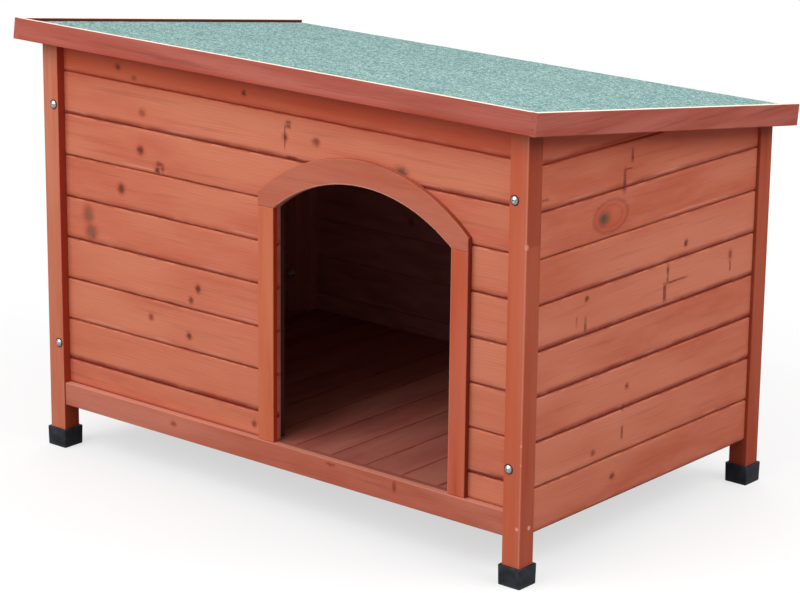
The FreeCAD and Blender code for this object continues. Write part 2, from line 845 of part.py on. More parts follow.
def roofNodes():
    nodes = {"roof_deck": [roofDeck()], "roof_felt": [roofFelt()], "roof_fascia_front": [frontFascia()]}
    for side, word in ((-1, "left"), (1, "right")):
        nodes["roof_fascia_" + word] = [sideFascia(side)]
        nodes["roof_batten_" + word] = [roofSideBatten(side)]
    run0, run1 = roofBattenRuns()
    nodes["roof_batten_front"] = [roofCrossBatten(run0)]
    nodes["roof_batten_rear"] = [roofCrossBatten(run1 - roofBattenWidth)]
    nodes["hinge_roof_leaves"] = hingeLeaves(False)
    nodes["hinge_roof_screws"] = hingeScrews(False)
    nodes["stay_pivot_screws"] = [stayPivotScrew(), mirrored(stayPivotScrew())]
    nodes["stay_arm_right"] = [stayArm()]
    nodes["stay_arm_left"] = [mirrored(stayArm())]
    return nodes


def writeNodes(nodes):
    for name, solids in nodes.items():
        shape = solids[0] if len(solids) == 1 else Part.makeCompound(solids)
        shape.exportStep("parts/" + name + ".step")
        box = shape.BoundBox
        print(name, len(shape.Solids), "solids, X", round(box.XMin, 1), round(box.XMax, 1),
              "Y", round(box.YMin, 1), round(box.YMax, 1), "Z", round(box.ZMin, 1), round(box.ZMax, 1))


allNodes = houseNodes()
allNodes.update(roofNodes())
writeNodes(allNodes)

pivotRun, pivotRise, studY, studZ = stayPoints()
print("hinge axis at Y, Z", roofPoint(hingeRun, hingeRise))
print("stay pivot at Y, Z", roofPoint(pivotRun, pivotRise), "stud at", (studY, studZ))
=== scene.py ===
import math

import bpy
import numpy as np
from mathutils import Matrix, Vector


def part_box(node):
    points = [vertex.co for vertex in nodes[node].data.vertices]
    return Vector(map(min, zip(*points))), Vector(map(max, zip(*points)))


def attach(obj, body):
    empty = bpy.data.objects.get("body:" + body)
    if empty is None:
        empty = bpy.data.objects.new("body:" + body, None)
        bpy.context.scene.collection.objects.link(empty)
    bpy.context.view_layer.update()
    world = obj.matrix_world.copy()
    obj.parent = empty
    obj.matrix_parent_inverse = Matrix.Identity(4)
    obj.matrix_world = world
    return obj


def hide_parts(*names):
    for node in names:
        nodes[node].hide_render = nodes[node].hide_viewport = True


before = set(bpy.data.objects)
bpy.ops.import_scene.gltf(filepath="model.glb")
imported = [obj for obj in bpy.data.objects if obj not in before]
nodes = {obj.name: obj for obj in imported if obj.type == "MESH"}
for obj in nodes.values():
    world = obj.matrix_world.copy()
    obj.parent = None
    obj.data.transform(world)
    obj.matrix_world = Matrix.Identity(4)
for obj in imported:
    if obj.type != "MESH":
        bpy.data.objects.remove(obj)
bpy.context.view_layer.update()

# A wooden dog house with an arched doorway and a hinged felt roof.
# Metres; X runs along the front, Y from front to back, Z up.


def seen(red, green, blue):
    # a colour as it looks on screen, 0 to 255, turned into the light it stands for
    values = []
    for level in (red, green, blue):
        level = level / 255
        values.append(level / 12.92 if level <= 0.04045 else ((level + 0.055) / 1.055) ** 2.4)
    return (*values, 1.0)


class Signal:
    # an output of the shader graph that takes part in plain arithmetic
    def __init__(self, bench, socket):
        self.bench = bench
        self.socket = socket

    def __add__(self, other):
        return self.bench.math("ADD", self, other)

    def __sub__(self, other):
        return self.bench.math("SUBTRACT", self, other)

    def __rsub__(self, other):
        return self.bench.math("SUBTRACT", other, self)

    def __mul__(self, other):
        return self.bench.math("MULTIPLY", self, other)

    def __truediv__(self, other):
        return self.bench.math("DIVIDE", self, other)


class Bench:
    # where one material's nodes are laid out and wired
    def __init__(self, name):
        self.material = bpy.data.materials.new(name)
        self.material.use_nodes = True
        self.nodes = self.material.node_tree.nodes
        self.links = self.material.node_tree.links
        self.nodes.clear()
        self.coords = self.nodes.new("ShaderNodeTexCoord")
        self.place = Signal(self, self.coords.outputs["Object"])

    def feed(self, socket, value):
        if isinstance(value, Signal):
            self.links.new(value.socket, socket)
        else:
            socket.default_value = value

    def put(self, kind, values, output=0, **settings):
        # a node with its settings, its inputs by name or number, and the wanted output
        node = self.nodes.new(kind)
        for key, value in settings.items():
            setattr(node, key, value)
        for key, value in values.items():
            self.feed(node.inputs[key], value)
        return Signal(self, node.outputs[output]) if len(node.outputs) else None

    def math(self, operation, *terms):
        return self.put("ShaderNodeMath", dict(enumerate(terms)), operation=operation)

    def split(self, vector):
        node = self.nodes.new("ShaderNodeSeparateXYZ")
        self.feed(node.inputs[0], vector)
        return [Signal(self, socket) for socket in node.outputs]

    def join(self, x, y, z):
        return self.put("ShaderNodeCombineXYZ", {0: x, 1: y, 2: z})

    def vector(self, operation, *terms, output=0):
        return self.put("ShaderNodeVectorMath", dict(enumerate(terms)), output, operation=operation)

    def length(self, vector):
        return self.vector("LENGTH", vector, output=1)

    def ramp(self, value, low, high, start=0.0, end=1.0):
        # a smooth step from start to end while the value goes from low to high
        values = {"Value": value, "From Min": low, "From Max": high, "To Min": start, "To Max": end}
        return self.put("ShaderNodeMapRange", values, interpolation_type="SMOOTHSTEP")

    def noise(self, vector, detail=2.0, roughness=0.5):
        values = {"Vector": vector, "Scale": 1.0, "Detail": detail, "Roughness": roughness}
        return self.put("ShaderNodeTexNoise", values)

    def cells(self, vector):
        # a colour of its own for each cell
        return self.put("ShaderNodeTexVoronoi", {"Vector": vector, "Scale": 1.0}, "Color")

    def chance(self, value):
        # a number from 0 to 1 that belongs to each whole number
        return self.put("ShaderNodeTexWhiteNoise", {"W": value}, noise_dimensions="1D")

    def tint(self, amount, under, over):
        # the colour over laid on the colour under, as thickly as amount says
        node = self.nodes.new("ShaderNodeMix")
        node.data_type = "RGBA"
        self.feed(node.inputs[0], amount)
        self.feed(node.inputs[6], under)
        self.feed(node.inputs[7], over)
        return Signal(self, node.outputs[2])

    def finish(self, colour, roughness, height, depth, **fixed):
        # the surface itself: colour, roughness and relief, with the fixed values on its own sockets
        relief = self.put("ShaderNodeBump", {"Height": height, "Distance": depth, "Strength": 1.0})
        values = {"Base Color": colour, "Roughness": roughness, "Normal": relief}
        values.update(fixed)
        surface = self.put("ShaderNodeBsdfPrincipled", values)
        self.put("ShaderNodeOutputMaterial", {"Surface": surface})
        return self.material


def dress(material, *names):
    for name in names:
        slots = nodes[name].data.materials
        slots.clear()
        slots.append(material)


# red-brown stained pine; each grain is how often it repeats in a metre, along the wood and across it
pine = {
    "ringWidth": 0.0045,        # growth rings as sawn
    "ringContrast": 0.075,
    "ringDepthNear": 0.010,     # how close the saw came to the heart, near and far
    "ringDepthFar": 0.06,
    "rippleGrain": (8.0, 70.0),
    "ripple": 2.2,              # how many rings a ripple reaches
    "fibreGrain": (16.0, 800.0),
    "fibreContrast": 0.10,
    "streakGrain": (4.5, 120.0),
    "blotchGrain": (9.0, 34.0),
    "blotchContrast": 0.7,
    "cloudGrain": (3.4, 13.0),
    "cloudContrast": 0.75,
    "boardContrast": 0.3,       # how much paler one board may be than the next
    "relief": 0.0003,
    "roughness": 0.6,
    "specular": 0.2,
}

# the usual shade, a redder one and a more orange or paler one
stains = {
    "front": (seen(203, 113, 86), seen(196, 98, 74), seen(211, 128, 98)),
    "side": (seen(198, 107, 81), seen(186, 90, 64), seen(210, 126, 99)),
    "post": (seen(191, 91, 63), seen(190, 79, 43), seen(199, 110, 83)),
    "leftPost": (seen(195, 108, 80), seen(190, 92, 62), seen(206, 130, 104)),
    "rearPost": (seen(165, 69, 43), seen(158, 59, 32), seen(176, 86, 61)),
    "fascia": (seen(168, 81, 68), seen(152, 68, 50), seen(181, 101, 87)),
    "rail": (seen(184, 98, 76), seen(172, 84, 60), seen(202, 122, 102)),
    "rightJamb": (seen(191, 87, 58), seen(190, 76, 42), seen(198, 106, 80)),
    "jamb": (seen(202, 104, 68), seen(196, 90, 54), seen(205, 116, 84)),
    "arch": (seen(183, 96, 70), seen(174, 84, 58), seen(192, 110, 88)),
    "floor": (seen(160, 86, 74), seen(138, 70, 62), seen(174, 106, 90)),
    "inside": (seen(190, 124, 116), seen(170, 106, 100), seen(200, 134, 124)),
}
# dark stain in grain, cracks, knots and seams; also painted shade where the rail meets the wall
pooledStainAndShade = seen(104, 34, 20)
# stain in the seams, and painted shade along the lower edges of the boards
seamStainAndShade = seen(136, 46, 29)
knotBrown = seen(96, 44, 32)
knotGrey = seen(98, 80, 62)
knotDusty = seen(126, 82, 66)
heartwood = seen(188, 84, 54)
# painted shade on the right-facing sides of the right jamb and the arch, and the darker upper part of the
# front right post's outer face
edgeShadeAndStain = seen(136, 47, 25)
# painted shade on the front left post's face that looks to the right; the front fascia's lower edge is
# darkened with it too
shadeAndStainRed = seen(168, 54, 30)
# painted shade on the front right post's outer face
postSideShade = seen(140, 44, 16)
# painted shade on the left jamb's face that looks into the doorway
jambSideShade = seen(192, 52, 33)
orangeStain = seen(196, 82, 42)
# painted shade under the roof's overhang, on the front and on the right side
frontOverhangShade = seen(202, 74, 39)
sideOverhangShade = seen(204, 78, 42)
endGrain = seen(146, 66, 76)
# painted shade on faces that look to the right: the inner side of the left fascia and the door stiles
revealShade = seen(64, 24, 20)
# bare wood on the fascia tops, painted near-white as a highlight
bareWoodHighlight = seen(255, 240, 222)
# worn chips, and painted highlights on edges and ledges
wearAndHighlight = seen(226, 158, 138)
# painted shade round the bolt heads
boltShade = seen(54, 42, 40)

roofFall = math.tan(math.radians(8))    # how far the roof drops for each metre back

# a knot; distances are shares of its own size, measured from its middle
knotForm = {
    "wobbleGrain": (150.0, 170.0),
    "wobble": (0.005, 0.006),   # how far its outline strays, along and across
    "coreEdge": 1.35,
    "coreFull": 0.35,
    "stainEdge": 1.7,
    "stainFull": 0.9,
    "stain": 0.2,
    "haloEdge": 2.1,
    "haloFull": 1.4,
    "halo": 0.26,
    "push": 0.75,               # how far it bends the rings, and how soon that fades
    "pushFade": 0.16,
}

# the wide ring of heartwood round a large knot: its fill, then where each growth line starts, peaks
# and ends, and its strength
eyeForm = {
    "edge": 1.06,
    "full": 0.7,
    "fill": 0.42,
    "lines": ((0.76, 0.93, 1.1, 0.3), (0.5, 0.62, 0.74, 0.16)),
}

# a crack's outline strays less than a knot's
crackForm = {
    "wobble": (0.0018, 0.002),
    "edge": 1.7,
    "full": 0.6,
    "faint": 0.4,
    "strong": 0.78,
}

# a seam between boards; heights are metres above a board's lower edge
seam = {
    "tearGrain": 30.0,
    "wearGrain": 11.0,
    "stainThin": 0.0026,        # how high the pooled stain stands, least and most
    "stainThick": 0.0078,
    "topThin": 0.0010,          # and how far it runs down from the board's upper edge
    "topThick": 0.0036,
    "topShare": 0.7,
    "highlightLow": 0.0045,          # the painted highlight on a board's lower lip lies between these, most at the middle one
    "highlightMiddle": 0.0065,
    "highlightHigh": 0.0105,
    "relief": 0.7,
}


class Plank:
    # one piece of wood: where a point lies along the grain, across it, into the wood and on its board
    def __init__(self, bench, grain, across, seed, boards, sloped):
        self.bench = bench
        self.seed = seed
        self.axes = dict(zip("XYZ", bench.split(bench.place)))
        if sloped:
            self.axes["slope"] = self.axes["Z"] + self.axes["Y"] * roofFall
        self.along = self.axes[grain]
        self.over = self.axes[across]
        self.deep = self.axes[({"X", "Y", "Z"} - {grain, across}).pop()]
        self.within = self.over
        self.luck, self.luckTwo, self.luckThree = 0.31 + seed * 0.17 % 1, 0.5, seed * 0.37 % 1
        if boards:
            # whole numbers count the boards, and each board has chances of its own
            step = (self.over - boards["start"]) / boards["pitch"]
            self.row = bench.math("FLOOR", step)
            self.within = (step - self.row) * boards["pitch"]
            self.luck = bench.chance(self.row + seed)
            self.luckTwo = bench.chance(self.row + (seed + 37.3))
            self.luckThree = bench.chance(self.row + (seed + 71.9))
        self.shift = self.luck * 23.0

    def grained(self, grain, back=False, spread=1.0, **settings):
        # noise drawn out along the grain, and shifted so that no two boards are alike
        length, width = grain
        place = self.along * length
        place = place - self.shift if back else place + self.shift
        width = width * spread
        return self.bench.noise(self.bench.join(place, self.over * width, self.deep * width), **settings)

    def strayed(self, wobble, size):
        # the point moved a little to and fro, so that outlines drawn from it aren't true
        along, across = size
        return self.bench.join(self.along + (wobble - 0.5) * along, self.over + (wobble - 0.5) * across, 0.0)


def nearest(bench, first, second):
    return second if first is None else bench.math("MINIMUM", first, second)


def strongest(bench, first, second):
    return second if first is None else bench.math("MAXIMUM", first, second)


def fromMiddle(bench, point, u, v, wide, tall):
    # the way from a mark's middle to the point, and the same in shares of the mark's half size
    offset = bench.vector("SUBTRACT", point, (u, v, 0.0))
    return offset, bench.vector("MULTIPLY", offset, (1 / wide, 1 / tall, 0.0))


def knotField(plank, point, knots):
    # The distance to the nearest knot, each colour's core, and how the rings bend. A knot pushes the
    # rings aside by the distance across the grain times a bell curve, exp(-fade * reach squared).
    bench = plank.bench
    near = None
    bend = None
    cores = {}
    for u, v, wide, tall, tone, strength in knots:
        offset, share = fromMiddle(bench, point, u, v, wide, tall)
        reach = bench.length(share)
        near = nearest(bench, near, reach)
        core = bench.ramp(reach, knotForm["coreEdge"], knotForm["coreFull"], 0.0, strength)
        cores[tone] = strongest(bench, cores.get(tone), core)
        across = bench.split(offset)[1]
        bell = bench.math("EXPONENT", reach * reach * -knotForm["pushFade"])
        push = across * bell * -knotForm["push"]
        bend = push if bend is None else bend + push
    return near, cores, bend


def lateWood(plank, bend):
    # The dark part of each growth ring. A ring's number is the distance from the heart line, the root
    # of side squared plus heart squared, over the ring's width, and noise ripples it.
    bench = plank.bench
    place = plank.along * 1.7 + plank.shift
    drift = bench.noise(bench.join(place, plank.luckTwo * 17.0, plank.seed), detail=1.0)
    heart = bench.ramp(drift, 0.28, 0.72, pine["ringDepthNear"], pine["ringDepthFar"])
    side = plank.within - (plank.luckTwo - 0.2) * 0.11 + plank.deep * 0.6
    if bend:
        side = side + bend
    ripple = plank.grained(pine["rippleGrain"], detail=2.0)
    away = bench.math("SQRT", side * side + heart * heart)
    ring = bench.math("FRACT", away / pine["ringWidth"] + ripple * pine["ripple"])
    return bench.ramp(ring, 0.35, 0.93) * bench.ramp(ring, 1.0, 0.94)


def seamMarks(plank, boards, colour, height):
    # stain pools along the seams, deepest at the lower edge of a board, and the lips are torn in places;
    # painted shade darkens the lower edge and the soft lip of each board, and a painted highlight lies on
    # the lip just above a seam
    bench = plank.bench
    within = plank.within
    lip = bench.chance(plank.row + (plank.seed + 53.1))     # some boards meet in a thin line, others softly
    place = plank.along * seam["tearGrain"] + plank.shift
    tear = bench.noise(bench.join(place, plank.row * 3.7, plank.seed), detail=2.0, roughness=0.6)
    place = plank.along * seam["wearGrain"] + plank.shift
    worn = bench.noise(bench.join(place, plank.row * 5.1, plank.seed), detail=1.0)
    depth = bench.ramp(tear, 0.3, 0.72, seam["stainThin"], seam["stainThick"]) * (lip * 0.8 + 0.55)
    lower = bench.ramp(within / depth, 1.0, 0.2)
    top = (boards["pitch"] - within) / bench.ramp(tear, 0.62, 0.4, seam["topThin"], seam["topThick"])
    pool = bench.math("MAXIMUM", lower, bench.ramp(top, 1.0, 0.3) * seam["topShare"])
    # painted shade: the lower edge of each board and its soft lip are darkened
    colour = bench.tint(bench.ramp(within, boards["fade"], 0.0) * (lip * 0.3 + 0.12), colour, seamStainAndShade)
    soft = bench.ramp(within, boards["lip"], boards["lip"] * 0.4) * bench.ramp(lip, 0.3, 0.75)
    colour = bench.tint(soft * bench.ramp(tear, 0.2, 0.55, 0.35, 0.75), colour, seamStainAndShade)
    # painted highlight on the lower lip of a board, just above the seam
    lipHighlight = bench.ramp(within, seam["highlightHigh"], seam["highlightMiddle"])
    lipHighlight = lipHighlight * bench.ramp(within, seam["highlightLow"], seam["highlightMiddle"])
    lipHighlight = lipHighlight * bench.ramp(worn, 0.5, 0.34) * boards["lipHighlight"]
    colour = bench.tint(lipHighlight, colour, wearAndHighlight)
    thick = bench.ramp(worn, 0.3, 0.6, boards["pool"] * 0.3, boards["pool"])
    return bench.tint(pool * thick, colour, seamStainAndShade), height - pool * seam["relief"]


def innerSide(plank, inner, blotch, streak, colour):
    # the inner side of a wall took less stain and got dusty
    bench = plank.bench
    axis, start, end = inner
    dull = bench.tint(bench.ramp(blotch, 0.3, 0.7), stains["inside"][0], stains["inside"][1])
    dull = bench.tint(bench.ramp(streak, 0.54, 0.78) * 0.3, dull, pooledStainAndShade)
    dull = bench.tint(bench.ramp(plank.within, 0.0016, 0.0006) * 0.75, dull, pooledStainAndShade)
    return bench.tint(bench.ramp(plank.axes[axis], start, end), colour, dull)


def knotEyes(plank, point, eyes, colour):
    bench = plank.bench
    for u, v, wide, tall in eyes:
        reach = bench.length(fromMiddle(bench, point, u, v, wide, tall)[1])
        colour = bench.tint(bench.ramp(reach, eyeForm["edge"], eyeForm["full"]) * eyeForm["fill"], colour,
                            heartwood)
        for start, peak, end, amount in eyeForm["lines"]:
            line = bench.ramp(reach, start, peak) * bench.ramp(reach, end, peak) * amount
            colour = bench.tint(line, colour, pooledStainAndShade)
    return colour


def crackMarks(plank, point, cracks, streak, colour):
    # short cracks and the ends of jointed lengths: the nearest one's box, by its larger side
    bench = plank.bench
    split = None
    for u, v, wide, tall in cracks:
        box = bench.vector("ABSOLUTE", fromMiddle(bench, point, u, v, wide, tall)[1])
        parts = bench.split(box)
        split = nearest(bench, split, bench.math("MAXIMUM", parts[0], parts[1]))
    mask = bench.ramp(split, crackForm["edge"], crackForm["full"])
    mask = mask * bench.ramp(streak, 0.3, 0.6, crackForm["faint"], crackForm["strong"])
    return bench.tint(mask, colour, pooledStainAndShade)


def arcHighlight(plank, arc, colour):
    # a painted highlight along a rounded edge: by the distance from the middle of its arc
    bench = plank.bench
    x, z, inner, outer, springing, shade, amount = arc
    reach = bench.length(bench.join(plank.axes["X"] - x, 0.0, plank.axes["Z"] - z))
    mask = bench.ramp(reach, outer, inner) * bench.ramp(plank.axes["Z"], *springing) * amount
    return bench.tint(mask, colour, shade)


def faceShading(plank, faces, colour):
    # faces coloured by how squarely they look along an axis: painted shade and painted highlights on most,
    # stain on some
    bench = plank.bench
    looks = dict(zip("XYZ", bench.split(Signal(bench, bench.coords.outputs["Normal"]))))
    for axis, sign, start, end, shade, amount, zone in faces:
        mask = bench.ramp(looks[axis] * sign, start, end) * amount
        if zone:
            mask = mask * bench.ramp(plank.axes[zone[0]], zone[1], zone[2])
        colour = bench.tint(mask, colour, shade)
    return colour


def pineFinish(name, stain, grain, across, seed, boards=None, knots=(), cracks=(), inner=None,
               faces=(), shades=(), spots=(), eyes=(), arc=None, spread=1.0, rings=1.0, streaks=0.22,
               fibres=1.0):
    # Pine: growth rings are circles round a wandering heart line, seen where the saw cut them.
    # Knots push the rings aside, stain pools in the seams, fibres are long thin noise.
    bench = Bench(name)
    plank = Plank(bench, grain, across, seed, boards, any(shade[0] == "slope" for shade in shades))
    middle, low, high = stains[stain]
    wobble = None
    wild = None
    if knots or cracks:
        length, width = knotForm["wobbleGrain"]
        wobble = bench.noise(bench.join(plank.along * length, plank.over * width, seed), detail=1.0)
        wild = plank.strayed(wobble, knotForm["wobble"])
    near, cores, bend = knotField(plank, wild, knots)
    late = lateWood(plank, bend)
    fibre = plank.grained(pine["fibreGrain"], detail=2.0, roughness=0.65)
    streak = plank.grained(pine["streakGrain"], detail=3.0, roughness=0.6)
    blotch = plank.grained(pine["blotchGrain"], True, spread, detail=2.0, roughness=0.6)
    cloud = plank.grained(pine["cloudGrain"], False, spread, detail=1.0)

    # from the broad shades to the fine fibres
    contrast = pine["fibreContrast"] * fibres
    colour = bench.tint(bench.ramp(blotch, 0.32, 0.68) * pine["blotchContrast"], middle, low)
    colour = bench.tint(bench.ramp(cloud, 0.35, 0.7) * pine["cloudContrast"], colour, high)
    colour = bench.tint(plank.luckThree * pine["boardContrast"], colour, high)
    colour = bench.tint(bench.ramp(streak, 0.54, 0.78) * streaks, colour, pooledStainAndShade)
    colour = bench.tint(late * (pine["ringContrast"] * rings), colour, pooledStainAndShade)
    colour = bench.tint(bench.ramp(fibre, 0.5, 0.78) * contrast, colour, pooledStainAndShade)
    colour = bench.tint(bench.ramp(fibre, 0.5, 0.2) * contrast, colour, high)
    height = fibre * 0.5 + streak * 0.5
    rough = bench.ramp(blotch, 0.2, 0.8, pine["roughness"] - 0.08, pine["roughness"] + 0.1)

    if boards:
        colour, height = seamMarks(plank, boards, colour, height)
    if inner:
        colour = innerSide(plank, inner, blotch, streak, colour)
    # bands between two levels along an axis: painted shade, painted highlights, and stain that lies thicker
    for axis, start, end, shade, amount in shades:
        colour = bench.tint(bench.ramp(plank.axes[axis], start, end) * amount, colour, shade)
    colour = knotEyes(plank, wild, eyes, colour)
    # knots, from a halo of red heartwood to the dark core
    if near:
        halo = bench.ramp(near, knotForm["haloEdge"], knotForm["haloFull"]) * knotForm["halo"]
        colour = bench.tint(halo, colour, heartwood)
        stained = bench.ramp(near, knotForm["stainEdge"], knotForm["stainFull"]) * knotForm["stain"]
        colour = bench.tint(stained, colour, pooledStainAndShade)
        for tone, core in cores.items():
            colour = bench.tint(core, colour, tone)
    if cracks:
        colour = crackMarks(plank, plank.strayed(wobble, crackForm["wobble"]), cracks, streak, colour)
    if arc:
        colour = arcHighlight(plank, arc, colour)
    if faces:
        colour = faceShading(plank, faces, colour)
    # spots round a point, such as painted shade round a bolt head or a worn chip
    for place, radius, soft, shade, amount in spots:
        reach = bench.vector("DISTANCE", bench.place, place, output=1)
        colour = bench.tint(bench.ramp(reach, radius + soft, radius) * amount, colour, shade)
    return bench.finish(colour, rough, height, pine["relief"], **{"Specular IOR Level": pine["specular"]})


# the cladding: pitch and first seam of the boards, and the faces that the weather sees
walls = {
    "pitch": 0.0689,
    "frontStart": 0.0826,
    "sideStart": 0.074,
    "frontFace": -0.2944,
    "sideFace": 0.4845,
    "rearFace": 0.3046,
    "thick": 0.008,
    "blend": 0.002,             # where the outer finish gives way to the inner, halfway through
    "margin": 0.04,             # how far past its end a piece still takes a knot
    "pool": 0.8,                # how dark the stain in the seams is
    "lipHighlight": 0.36,              # painted highlight on the lips beside the seams
    "fade": 0.013,              # how far the painted shade at the lower edge of a board reaches upwards
    "lip": 0.0115,              # height of the soft lips with painted shade
}

# along, up, half width, half height, colour and strength of the core
frontKnots = [
    (-0.335, 0.657, 0.0055, 0.0044, knotBrown, 0.75),
    (-0.299, 0.644, 0.0047, 0.0034, knotBrown, 0.35),
    (-0.065, 0.654, 0.0044, 0.0044, knotBrown, 0.85),
    (-0.283, 0.591, 0.0060, 0.0052, knotBrown, 0.35),
    (-0.288, 0.530, 0.0073, 0.0068, knotBrown, 0.9),
    (-0.2505, 0.5035, 0.0056, 0.0050, knotBrown, 0.9),
    (-0.2460, 0.5140, 0.0078, 0.0036, knotBrown, 0.6),
    (-0.2395, 0.5070, 0.0032, 0.0062, knotBrown, 0.5),
    (-0.332, 0.460, 0.0072, 0.0081, knotBrown, 0.85),
    (-0.408, 0.405, 0.0098, 0.0136, knotDusty, 0.72),
    (-0.402, 0.377, 0.0116, 0.0118, knotDusty, 0.78),
    (-0.398, 0.370, 0.0040, 0.0036, knotBrown, 0.55),
    (-0.165, 0.326, 0.0052, 0.0062, knotBrown, 0.85),
    (-0.180, 0.305, 0.0044, 0.0052, knotBrown, 0.7),
    (-0.269, 0.260, 0.0049, 0.0047, knotBrown, 0.6),
    (-0.185, 0.245, 0.0052, 0.0052, knotBrown, 0.85),
    (0.019, 0.599, 0.0044, 0.0057, knotBrown, 0.8),
    (0.081, 0.601, 0.0065, 0.0055, knotBrown, 0.6),
    (0.2465, 0.5800, 0.0108, 0.0086, knotGrey, 0.9),
    (0.2590, 0.5725, 0.0080, 0.0032, knotBrown, 0.6),
    (0.2290, 0.5825, 0.0070, 0.0026, knotBrown, 0.5),
    (-0.046, 0.130, 0.0049, 0.0049, knotBrown, 0.6),
]
# along, up, half width and half height
frontCracks = [
    (0.0255, 0.6195, 0.0042, 0.005),
    (0.0185, 0.600, 0.0010, 0.016),
    (0.0325, 0.5690, 0.0085, 0.0024),
]
railKnots = [
    (0.123, 0.1055, 0.0075, 0.0030, pooledStainAndShade, 0.5),
    (0.250, 0.1000, 0.0036, 0.0078, pooledStainAndShade, 0.5),
    (-0.21, 0.0960, 0.0050, 0.0040, pooledStainAndShade, 0.45),
]

sideKnots = [
    (-0.117, 0.519, 0.0140, 0.0100, knotGrey, 0.85),
    (-0.119, 0.519, 0.0057, 0.0063, knotBrown, 0.5),
    (0.099, 0.440, 0.0045, 0.0050, knotBrown, 0.85),
    (0.223, 0.396, 0.0045, 0.0075, knotBrown, 0.55),
    (-0.154, 0.406, 0.0045, 0.0037, knotBrown, 0.75),
    (-0.045, 0.246, 0.0042, 0.0042, knotBrown, 0.8),
    (-0.053, 0.215, 0.0042, 0.0042, knotBrown, 0.7),
    (-0.076, 0.111, 0.0055, 0.0047, knotBrown, 0.75),
    (-0.127, 0.161, 0.0050, 0.0040, knotBrown, 0.55),
]
bigKnotEye = (-0.100, 0.5205, 0.045, 0.026)     # the ring round the first of the side's knots
sideCracks = [
    (-0.050, 0.603, 0.0026, 0.008),
    (-0.068, 0.568, 0.0030, 0.015),
    (-0.059, 0.584, 0.008, 0.0010),
    (0.053, 0.403, 0.0026, 0.013),
    (0.046, 0.373, 0.0034, 0.012),
    (0.076, 0.386, 0.024, 0.0014),
    (-0.156, 0.368, 0.0026, 0.009),
    (-0.054, 0.175, 0.0024, 0.008),
    (-0.262, 0.574, 0.007, 0.0016),
    (-0.178, 0.376, 0.0016, 0.006),
    (0.224, 0.378, 0.0018, 0.006),
]
rearKnots = [
    (0.31, 0.45, 0.005, 0.005, knotBrown, 0.8),
    (-0.22, 0.31, 0.006, 0.006, knotBrown, 0.6),
    (0.05, 0.18, 0.004, 0.004, knotBrown, 0.8),
    (-0.36, 0.52, 0.004, 0.005, knotBrown, 0.7),
]
leftKnots = [
    (0.12, 0.44, 0.005, 0.005, knotBrown, 0.8),
    (-0.08, 0.24, 0.004, 0.004, knotBrown, 0.8),
    (-0.16, 0.58, 0.006, 0.006, knotGrey, 0.7),
]


def innerFrom(axis, outer, inward):
    # where the inner finish starts and is full: halfway through the boards, going inwards
    start = outer + inward * walls["thick"] / 2
    return (axis, start, start + inward * walls["blend"])


def wallPine(node, grain, seed, start, knots, cracks, inner, shades=(), eyes=()):
    # a wall piece takes the knots and cracks that lie on it, so boards run on from piece to piece
    low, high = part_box(node)
    across = "XYZ".index(grain)
    margin = walls["margin"]

    def reaches(mark):
        beside = low[across] - margin < mark[0] < high[across] + margin
        return beside and low[2] - margin < mark[1] < high[2] + margin

    boards = {"start": start, **{key: walls[key] for key in ("pitch", "pool", "lipHighlight", "fade", "lip")}}
    stain = "front" if inner[0] == "Y" else "side"
    dress(pineFinish(node + "Pine", stain, grain, "Z", seed, boards, list(filter(reaches, knots)),
                     list(filter(reaches, cracks)), inner, shades=shades, eyes=eyes), node)


# painted shade darkens the front's lowest board behind the rail and its top boards under the roof's
# overhang, and the ends cut for the doorway are mauve
frontInner = innerFrom("Y", walls["frontFace"], 1)
for node in ("front_board_bottom", "front_boards_left", "front_boards_right", "front_board_arch",
             "front_boards_top"):
    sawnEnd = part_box(node)[1][0]
    frontShades = [("Z", 0.117, 0.1122, pooledStainAndShade, 0.6), ("Z", 0.612, 0.66, frontOverhangShade, 0.68),
                   ("X", sawnEnd - 0.0009, sawnEnd - 0.0003, endGrain, 0.9)]
    wallPine(node, "X", 3.0, walls["frontStart"], frontKnots, frontCracks, frontInner, frontShades)
# painted shade under the roof's overhang along the top of the right side
wallPine("side_boards_right", "Y", 11.0, walls["sideStart"], sideKnots, sideCracks,
         innerFrom("X", walls["sideFace"], -1), [("slope", 0.570, 0.632, sideOverhangShade, 0.62)], [bigKnotEye])
wallPine("side_boards_left", "Y", 19.0, walls["sideStart"], leftKnots, [],
         innerFrom("X", -walls["sideFace"], 1))
wallPine("rear_boards", "X", 27.0, walls["sideStart"], rearKnots, [],
         innerFrom("Y", walls["rearFace"], -1))


def sawn(axis, sign, shade, amount, zone=None):
    # the face that looks along the axis, whole or from one level of a zone to another
    return (axis, sign, 0.86, 0.96, shade, amount, zone)


# posts: the front faces of the front ones, the outer faces of the right ones, and their bolts
post = {
    "front": -0.30988,
    "right": 0.4905,
    "rightEdge": 0.4885,        # where the rounded edge between these two starts
    "bolt": 0.467,              # the bolts' distance from the middle of the house
    "boltHeights": (0.18, 0.58),
    "boltShadeRadius": 0.0072,             # radius of the painted shade round a bolt head
    "boltShadeSoft": 0.0018,
}


def boltShadeRings(x):
    # painted shade round the two bolt heads of a front post
    return [((x, post["front"], z), post["boltShadeRadius"], post["boltShadeSoft"], boltShade, 0.9)
            for z in post["boltHeights"]]


def chip(x, y, z, radius, amount):
    return ((x, y, z), radius * 0.5, radius * 0.5, wearAndHighlight, amount)


